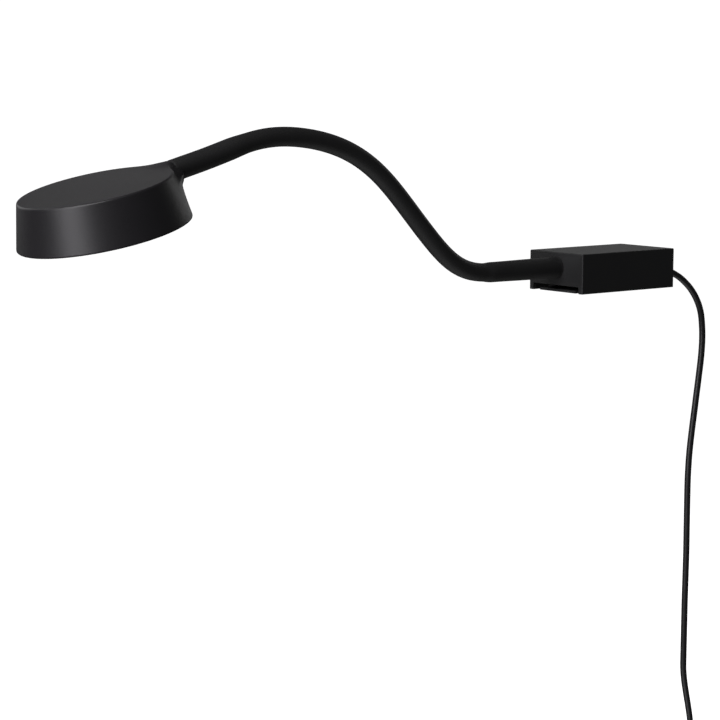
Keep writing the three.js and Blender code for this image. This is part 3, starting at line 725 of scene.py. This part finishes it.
combine(housing, cuts, "DIFFERENCE")
flat_finish(housing)
finish_piece(housing, "housing", "housing_plastic", "housing_shell")

# cover, bracket and spring keep their CAD bodies with eased edges
for name, width in (("mounting_bracket", 0.22), ("bottom_cover", 0.2), ("bracket_catch_spring", 0.05)):
    obj = frame["nodes"][name]
    bev = obj.modifiers.new("eased", "BEVEL")
    bev.width = width * MM
    bev.segments = 2
    bev.limit_method = "ANGLE"
    bev.angle_limit = math.radians(40)
    bev.harden_normals = False
    wn = obj.modifiers.new("weighted", "WEIGHTED_NORMAL")
    wn.keep_sharp = True


def hex_socket(rows, size):
    def f(i, angle):
        if i not in rows:
            return 1.0
        k = (angle + math.pi / 6) % (math.pi / 3) - math.pi / 6
        return math.cos(math.pi / 6) / math.cos(k) * size
    return f


def screw_piece(name, matrix, head_r, head_h, shank_r, length, body):
    """Pan-head screw, head down at z = 0, with a hexagon socket and a threaded shank."""
    profile = [(0, 0.55), (head_r * 0.50, 0.55), (head_r * 0.50, 0.06), (head_r * 0.54, 0.0), (head_r * 0.80, 0.0)]
    profile += arc(head_r * 0.80, head_r * 0.18, head_r * 0.18, -90, -10, 4)
    profile += [(head_r, head_h - 0.1), (head_r - 0.1, head_h), (shank_r, head_h)]
    z = head_h + 0.2
    while z < length - 1.3:
        profile += [(shank_r - 0.16, z), (shank_r, z + 0.22)]
        z += 0.46
    profile += [(shank_r * 0.8, length - 1.0), (0.25, length - 0.05), (0, length)]
    obj = lathe(name + "_fine", profile, 48, matrix, 30.0, hex_socket((1, 2), 1.0))
    finish_piece(obj, body, "steel", name)
    return obj


for i, (x, y) in enumerate(((-29.4, -14), (-29.4, 14), (29.0, -14), (29.0, 14))):
    screw_piece(f"cover_screw_{i + 1}", Matrix.Translation((x, y, 4.05)), 2.35, 1.0, 1.2, 10, "housing")

# ------------------------------------------------------------------ strain relief, a ribbed gland along the lead's exit
exit_line = catmull([(36.45, 0, 9.4), (39.5, 0, 9.38), (44.6, 0, 8.97), (49.9, 0, 8.02)], 60)
exit_along = np.concatenate([[0], np.cumsum(np.linalg.norm(np.diff(exit_line, axis=0), axis=1))])
total = exit_along[-1]
centres, tangents, radii = [], [], []


def relief_station(x, r):
    centres.append(np.array([x, 0.0, CORD_Z]))
    tangents.append(np.array([1.0, 0, 0]))
    radii.append(r)


for x, r in ((a - 5.2, 0.02), (a - 5.2, 3.6), (a - 5.0, 3.9), (a - 3.2, 3.9), (a - 3.05, 2.65), (a + 0.12, 2.65), (a + 0.25, 2.75), (a + 0.3, 4.15), (a + 0.45, 4.3), (a + 1.35, 4.3), (a + 1.55, 4.22), (a + 1.7, 3.95)):
    relief_station(x, r)
_u = np.arange(1.6, total, 0.1)
for u in _u:
    c = np.array([np.interp(u, exit_along, exit_line[:, k]) for k in range(3)])
    d = np.array([np.interp(min(u + .2, total), exit_along, exit_line[:, k]) - np.interp(max(u - .2, 0), exit_along, exit_line[:, k]) for k in range(3)])
    base = 3.35 - 0.95 * (u / total)
    wave = (u - 3.0) / 1.9
    cut = 0.0
    if 0 < wave < 5:
        ph = wave % 1.0
        cut = 0.42 * (smooth(ph / 0.22) if ph < 0.5 else smooth((0.78 - ph) / 0.22)) if ph < 0.78 else 0.0
    flare = 0.55 * (1 - smooth((u - 1.6) / 1.4))
    centres.append(c)
    tangents.append(d / np.linalg.norm(d))
    radii.append(base + flare - cut)
centres.append(exit_line[-1] - tangents[-1] * 0.02)
tangents.append(tangents[-1])
radii.append(2.3)
centres.append(exit_line[-1])
tangents.append(tangents[-1])
radii.append(1.9)


def solid_sweep(name, centres, tangents, radii, sides=40, deg=40.0):
    verts, faces = [], []
    yv = np.array([0, 1.0, 0])
    for c, t, r in zip(centres, tangents, radii):
        u = np.cross(yv, t)
        u /= np.linalg.norm(u)
        for k in range(sides):
            ang = 2 * math.pi * k / sides
            verts.append(c + (u * math.cos(ang) + yv * math.sin(ang)) * r)
    n = len(centres)
    for i in range(n - 1):
        for k in range(sides):
            k2 = (k + 1) % sides
            faces.append((i * sides + k, i * sides + k2, (i + 1) * sides + k2, (i + 1) * sides + k))
    faces.append(tuple(range(sides - 1, -1, -1)))
    faces.append(tuple((n - 1) * sides + k for k in range(sides)))
    return make_object(name, verts, fix_outward(verts, faces), None, deg)


relief = solid_sweep("lead_gland", centres, tangents, radii)
finish_piece(relief, "housing", "silicone", "strain_relief")


# ------------------------------------------------------------------ the arm's sleeve
def sleeve_radius(s):
    r = 5.75 - 0.25 * smooth((s - 18) / 30.0)
    r -= 0.53 * smooth((s - 49.0) / 6.5)
    r += 0.48 * smooth((s - 236.0) / 14.0)
    if s < 2.0:
        r += 0.5 * (1 - math.sqrt(max(0.0, 1 - (1 - s / 2.0) ** 2)))
    return r


def sleeve_piece(name, s0, s1, body_a, body_b, pivot, *nodes):
    inner_step = 0.8
    s_values = list(np.linspace(s0, s1, int((s1 - s0) / inner_step) + 1))
    if s0 < 1:
        s_values = [0.3, 0.45, 0.6, 0.8, 1.0, 1.3, 1.6, 2.0, 2.4, 2.8, 3.14, 3.2] + [s for s in s_values if s > 3.5]
    centres, tangents, outer, inner = [], [], [], []
    for s in s_values:
        th = arm_slope(s)
        centres.append(arm_point(s))
        tangents.append(np.array([-math.cos(th), 0, math.sin(th)]))
        outer.append(sleeve_radius(s) - (0.25 * max(0.0, (s - (SEAM - 0.6)) / 0.3) if s > SEAM - 0.6 else 0.0))
        inner.append(5.1 if s < 3.16 else 3.75)
    v, n, f, group = tube_data(centres, tangents, outer, inner, 48)
    obj = make_object(name, v, fix_outward(v, f), None, None)
    loop_normals(obj, n, group)
    obj.data.materials.append(mats["silicone"])
    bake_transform(obj)
    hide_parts(*nodes)
    return obj


bodies = ["housing"] + [f"arm_{i}" for i in range(1, 8)] + ["head"]
bounds_s = [0.3] + [(PIVOTS[i] + PIVOTS[i + 1]) / 2 for i in range(7)] + [SEAM - 0.3]
for i in range(8):
    nodes = [f"arm_sleeve_{i + 1}"] if i < 7 else ["head_sleeve"]
    if i == 0:
        nodes.append("base_sleeve")
    sleeve_piece(f"sleeve_part_{i + 1}", bounds_s[i], bounds_s[i + 1], bodies[i], bodies[i + 1], PIVOTS[i], *nodes)

# ------------------------------------------------------------------ lamp head
head_matrix = Matrix.Translation(HEAD_AT) @ Matrix.Rotation(HEAD_TILT, 4, "Y")
into_head = np.array(head_matrix.inverted(), float)


def to_head(p):
    return into_head[:3, :3] @ np.array(p) + into_head[:3, 3]


neck_at = to_head(arm_point(SEAM))
neck_dir = to_head(arm_point(SEAM + 20)) - neck_at
neck_dir /= np.linalg.norm(neck_dir)
SIDE_N = (HEAD_H / math.hypot(HEAD_H, R_LOW - R_TOP), (R_LOW - R_TOP) / math.hypot(HEAD_H, R_LOW - R_TOP))
TOP_EDGE, LOW_EDGE = 0.9, 0.8


def head_field(p):
    x, y, z = p[:, 0], p[:, 1], p[:, 2]
    r = np.hypot(x, y)
    side = (r - R_TOP - 0.15) * SIDE_N[0] + z * SIDE_N[1]
    # the wall swells into the stub for the arm, and the top rises a little over it
    q = p - neck_at
    t = q @ neck_dir
    radial = np.linalg.norm(q - t[:, None] * neck_dir, axis=1)
    low = np.clip((-z - 1.0) / 6.0, 0, 1)
    low = low * low * (3 - 2 * low)
    stub = soft_max(radial - 5.62, t - 15.0, 4.0)
    wall = soft_min_poly(side * 1.2, stub * 0.6, 8.0 + 7.5 * low)
    rise = np.clip((x - 30.0) / 16.0, 0, 1)
    rise = rise * rise * (3 - 2 * rise)
    top = z - 1.4 * rise * np.exp(-(y / 9.0) ** 2)
    body = soft_max(top, wall, TOP_EDGE)
    # beyond the seam only the fillet under the sleeve goes on
    body = np.maximum(body, -t - 5.6)
    body = np.maximum(body, -np.maximum(radial - 5.62, t))
    body = soft_max(body, -z - HEAD_H - 0.25, LOW_EDGE)
    # the hollow
    inside = soft_max(z + ROOF, (r - (R_TOP - WALL)) * SIDE_N[0] + z * SIDE_N[1], 1.2)
    shell = np.maximum(body, -inside)
    for deg in (90, 180, 270):
        bx, by = 28 * math.cos(math.radians(deg)), 28 * math.sin(math.radians(deg))
        rr = np.hypot(x - bx, y - by)
        boss = np.maximum(np.maximum(rr - 3.0, z + 1.8), -12.1 - z)
        shell = np.minimum(shell, boss)
        shell = np.maximum(shell, -np.maximum(np.maximum(rr - 1.4, z + 4.0), -14.0 - z))
    cradle = np.maximum.reduce([x - 34.6, 20.5 - x, np.abs(y) - 10.0, z + 1.8, -4.7 - z])
    shell = np.minimum(shell, cradle)
    for by in (-6.8, 6.8):
        rr = np.hypot(x - 27, y - by)
        shell = np.maximum(shell, -np.maximum(np.maximum(rr - 1.25, z + 1.5), -8.0 - z))
    bore = np.maximum(radial - 2.75, t - 26.0)
    return np.maximum(shell, -bore)


STEP = 0.5
hv, hf = surface_net(head_field, (-44.4, -44.4, -24.4), (46.4, 44.4, 4.0), STEP)
hv = project(head_field, hv)
raw = bpy.data.meshes.new("raw")
raw.from_pydata((hv * MM).tolist(), [], hf.tolist())
raw.update()
tmp = bpy.data.objects.new("raw", raw)
scene.collection.objects.link(tmp)
dec = tmp.modifiers.new("d", "DECIMATE")
dec.ratio = 0.45
mesh = bpy.data.meshes.new_from_object(tmp.evaluated_get(bpy.context.evaluated_depsgraph_get()))
bpy.data.objects.remove(tmp)
bm = bmesh.new()
bm.from_mesh(mesh)
bmesh.ops.recalc_face_normals(bm, faces=bm.faces)
bm.to_mesh(mesh)
bm.free()
local = np.array([tuple(vv.co) for vv in mesh.vertices]) / MM
local = project(head_field, local, 2, 0.15)
g = gradient(head_field, local, 0.05)
g /= np.maximum(np.linalg.norm(g, axis=1), 1e-9)[:, None]
m3 = np.array(head_matrix, float)
world = local @ m3[:3, :3].T + m3[:3, 3]
mesh.vertices.foreach_set("co", (world * MM).ravel())
mesh.update()
for poly in mesh.polygons:
    poly.use_smooth = True
wn = g @ m3[:3, :3].T
# creases inside keep their faces' own normals where those differ a lot from the field's
loops = []
for poly in mesh.polygons:
    pn = np.array(poly.normal)
    for vi in poly.vertices:
        loops.append(tuple(wn[vi]) if float(pn @ wn[vi]) > 0.72 else tuple(pn))
mesh.normals_split_custom_set(loops)
mesh.name = "head_body"
head_obj = bpy.data.objects.new("head_body", mesh)
scene.collection.objects.link(head_obj)
finish_piece(head_obj, "head", "shell_plastic", "head_shell")

lip = [(34.6, -21.3), (34.6, -21.9)] + arc(34.85, -21.85, 0.25, 180, 270, 3) + arc(39.1, -21.8, 0.35, -90, 0, 4)
lip += [(39.5, -21.2), (39.15, -19.25), (39.05, -19.2), (38.6, -19.2), (38.5, -19.3), (38.5, -21.3)]
bezel = lathe("bezel_fine", lip, 160, head_matrix, 32.0)
finish_piece(bezel, "head", "housing_plastic", "bezel_ring")
opal = lathe("diffuser_fine", [(0, -21.0), (20, -21.02), (37.6, -21.0)] + arc(37.9, -20.7, 0.3, -90, 0, 3) + [(38.2, -19.7)] + arc(37.9, -19.7, 0.3, 0, 90, 3) + [(20, -19.4), (0, -19.4)], 144, head_matrix, 32.0)
finish_piece(opal, "head", "opal", "diffuser")
mirror = lathe("reflector_fine", [(25.6, -17.0), (31.5, -18.15), (37.6, -19.1), (37.55, -18.45), (37.4, -18.3), (31.4, -17.3), (25.7, -16.1), (25.6, -16.2)], 128, head_matrix, 32.0)
finish_piece(mirror, "head", "white_plastic", "reflector")
for i, deg in enumerate((90, 180, 270)):
    m = head_matrix @ Matrix.Translation((28 * math.cos(math.radians(deg)), 28 * math.sin(math.radians(deg)), -15.6))
    screw_piece(f"head_screw_{i + 1}", m, 2.3, 1.4, 1.05, 9.5, "head")

# ------------------------------------------------------------------ tie and connector on the lead
tie_path = []
x0, x1, y0, y1, rr = 15.0, 27.2, -9.6, 13.4, 2.2
for cx, cy, st in ((x1 - rr, y1 - rr, 0), (x0 + rr, y1 - rr, 90), (x0 + rr, y0 + rr, 180), (x1 - rr, y0 + rr, 270)):
    for k in range(9):
        ang = math.radians(st + 90 * k / 8)
        tie_path.append((cx + rr * math.cos(ang), cy + rr * math.sin(ang), math.cos(ang), math.sin(ang)))
verts, faces = [], []
section = [(0.0, -2.9), (0.0, 2.9), (0.12, 3.0), (0.85, 3.0), (0.97, 2.9), (0.97, -2.9), (0.85, -3.0), (0.12, -3.0)]
m = len(section)
for px, py, nx, ny in tie_path:
    for out, zz in section:
        verts.append((px + nx * out, py + ny * out, zz))
n = len(tie_path)
for i in range(n):
    for k in range(m):
        faces.append((i * m + k, i * m + (k + 1) % m, ((i + 1) % n) * m + (k + 1) % m, ((i + 1) % n) * m + k))
tie_m = Matrix.Translation((RING_X, 0, RING_Z)) @ Matrix.Rotation(-math.radians(103), 4, "Y")
tie = make_object("tie_strap", verts, fix_outward(verts, faces), None, 40.0, tie_m)
finish_piece(tie, "housing", "tie_fabric", "cord_tie")

tail_x = RING_X - 24.8
down = Matrix.Translation((tail_x, 11.2, -338)) @ Matrix.Rotation(math.pi, 4, "X")
profile = [(0, 0), (2.1, 0)] + arc(2.1, 0.25, 0.25, -90, 0, 3) + [(2.6, 2.5)]
for k in range(4):
    z = 3.0 + k * 1.15
    profile += [(2.7 + 0.09 * k, z), (2.45 + 0.09 * k, z + 0.12), (2.45 + 0.09 * k, z + 0.55), (2.75 + 0.09 * k, z + 0.67)]
profile += [(3.2, 7.4), (4.1, 8.2), (4.5, 8.7), (4.68, 9.4)]
z = 11.0
while z < 18.8:
    profile += [(4.7, z), (4.5, z + 0.15), (4.5, z + 0.65), (4.7, z + 0.8)]
    z += 1.35
profile += [(4.7, 20.6), (4.6, 21.1), (4.3, 21.6), (4.05, 22.3)] + [(3.95, 22.4), (0, 22.4)]
plug_body = lathe("connector_grip", profile, 72, down, 34.0)
finish_piece(plug_body, "housing", "connector_plastic", "connector_body")
barrel = lathe("connector_tip", [(0, 22.6), (2.6, 22.6), (2.75, 22.75), (2.75, 30.9), (2.7, 31.1), (2.55, 31.2), (2.75, 31.35), (2.7, 31.9), (2.45, 32.2), (1.25, 32.2), (1.1, 32.05), (1.1, 24.5), (0, 24.5)], 64, down, 34.0)
finish_piece(barrel, "housing", "steel", "connector_barrel")

# ferrule behind the surfaces, turned finely
fer_m = turn_to((-1, 0, 0), (-a, 0, ARM_Z))
ferrule = lathe("base_ferrule_fine", [(1.8, -9.2), (2.8, -9.2), (2.95, -9.0), (3.25, -8.7)] + [p for k in range(9) for p in ((3.25, -8.4 + k * 0.9), (3.0, -8.15 + k * 0.9), (3.0, -7.9 + k * 0.9), (3.25, -7.65 + k * 0.9))] + [(3.3, 0.3), (4.7, 0.3), (4.8, 0.4), (4.8, 2.7), (4.7, 2.8), (3.3, 3.1), (3.3, 50), (1.8, 50)], 64, fer_m, 30.0)
finish_piece(ferrule, "housing", "steel", "arm_base_ferrule")

# ------------------------------------------------------------------ studio
def plain(name, color, rough=0.9, emission=0.0):
    """White studio surface that glows softly; its outer side is clear, so the object can be seen from below."""
    m = bpy.data.materials.new(name)
    m.use_nodes = True
    t = m.node_tree
    s = t.nodes["Principled BSDF"]
    noise = node(t, "ShaderNodeTexNoise", (-500, 0))
    noise.inputs["Scale"].default_value = 3.0
    mix = node(t, "ShaderNodeMixRGB", (-250, 0))
    mix.inputs["Color1"].default_value = (*[c * 0.985 for c in color], 1)
    mix.inputs["Color2"].default_value = (*color, 1)
    t.links.new(noise.outputs["Fac"], mix.inputs["Fac"])
    t.links.new(mix.outputs["Color"], s.inputs["Base Color"])
    s.inputs["Roughness"].default_value = rough
    s.inputs["Emission Color"].default_value = (1, 1, 1, 1)
    s.inputs["Emission Strength"].default_value = emission
    side = node(t, "ShaderNodeNewGeometry", (-250, 300))
    clear = node(t, "ShaderNodeBsdfTransparent", (0, -300))
    both = node(t, "ShaderNodeMixShader", (250, 0))
    t.links.new(side.outputs["Backfacing"], both.inputs["Fac"])
    t.links.new(s.outputs["BSDF"], both.inputs[1])
    t.links.new(clear.outputs["BSDF"], both.inputs[2])
    t.links.new(both.outputs["Shader"], t.nodes["Material Output"].inputs["Surface"])
    return m


def round_studio():
    """Pale floor that curves up into a wall and a roof all round the object."""
    profile = [(1.5, -0.40), (3.0, -0.40), (4.5, -0.40)]
    for k in range(1, 13):
        ang = math.pi / 2 * k / 12
        profile.append((4.5 + 0.9 * math.sin(ang), -0.40 + 0.9 * (1 - math.cos(ang))))
    for k in range(1, 13):
        ang = math.pi / 2 * k / 13
        profile.append((5.4 * math.cos(ang), 0.5 + 5.4 * math.sin(ang)))
    sides = 96
    verts = [(0.0, 0.0, -0.40)]
    for r, z in profile:
        for k in range(sides):
            a = 2 * math.pi * k / sides
            verts.append((r * math.cos(a), r * math.sin(a), z))
    verts.append((0.0, 0.0, 5.9))
    faces = []
    last = 1 + sides * (len(profile) - 1)
    for k in range(sides):
        k2 = (k + 1) % sides
        faces.append((0, 1 + k, 1 + k2))
        for i in range(len(profile) - 1):
            a, b = 1 + i * sides, 1 + (i + 1) * sides
            faces.append((a + k, b + k, b + k2, a + k2))
        faces.append((last + k, len(verts) - 1, last + k2))
    mesh = bpy.data.meshes.new("studio_floor")
    mesh.from_pydata([(x - 0.15, y, z) for x, y, z in verts], [], faces)
    bm = bmesh.new()
    bm.from_mesh(mesh)
    bmesh.ops.recalc_face_normals(bm, faces=bm.faces)
    bmesh.ops.reverse_faces(bm, faces=bm.faces)
    bm.to_mesh(mesh)
    bm.free()
    for poly in mesh.polygons:
        poly.use_smooth = True
    obj = bpy.data.objects.new("studio_floor", mesh)
    scene.collection.objects.link(obj)
    mesh.materials.append(plain("studio_white", (0.80, 0.80, 0.80), 0.95, 0.98))
    obj.visible_glossy = False
    obj.visible_diffuse = False
    obj.visible_transmission = False
    obj.visible_shadow = False
    obj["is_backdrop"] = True
    return obj


round_studio()


def area(name, place, target, size_x, size_y, power, color=(1, 1, 1)):
    data = bpy.data.lights.new(name, "AREA")
    data.shape = "RECTANGLE"
    data.size, data.size_y = size_x, size_y
    data.energy = power
    data.color = color
    obj = bpy.data.objects.new(name, data)
    scene.collection.objects.link(obj)
    p, q = Vector(place), Vector(target)
    obj.matrix_world = Matrix.Translation(p) @ (q - p).to_track_quat("-Z", "Y").to_matrix().to_4x4()
    obj.visible_camera = False
    return obj


flat_f = Vector((FORWARD.x, FORWARD.y, 0)).normalized()
flat_r = Vector((RIGHT.x, RIGHT.y, 0)).normalized()
lamp_head = Vector((-0.34, 0, 0.06))
area("behind", lamp_head + flat_r * 0.20 + flat_f * 1.95 + Vector((0, 0, 0.37)), (-0.17, 0, 0.04), 1.3, 0.7, 1.25)
area("overhead", lamp_head - flat_r * 0.47 - flat_f * 0.61 + Vector((0, 0, 1.10)), lamp_head, 1.00, 0.42, 11.0)
area("tall_softbox", lamp_head - flat_r * 0.80 - flat_f * 1.15 + Vector((0, 0, 0.45)), lamp_head, 0.85, 1.8, 27.0, (0.98, 0.96, 1.0))
area("rear_softbox", lamp_head - flat_r * 0.95 + flat_f * 0.90 + Vector((0, 0, 0.55)), (-0.2, 0, 0.04), 0.8, 1.2, 3.5)
area("end_fill", lamp_head + flat_r * 0.95 + flat_f * 1.25 + Vector((0, 0, 0.32)), (0.0, 0, 0.02), 0.45, 0.6, 1.0)
area("under", (-0.17, 0.0, -1.30), (-0.15, 0, 0.05), 1.6, 1.6, 5.5)
world_bg = bpy.data.worlds.new("studio")
scene.world = world_bg
world_bg.use_nodes = True
world_bg.node_tree.nodes["Background"].inputs["Color"].default_value = (1, 1, 1, 1)
world_bg.node_tree.nodes["Background"].inputs["Strength"].default_value = 0.07
scene.view_settings.view_transform = "Standard"
scene.view_settings.look = "None"

note_size("shown")
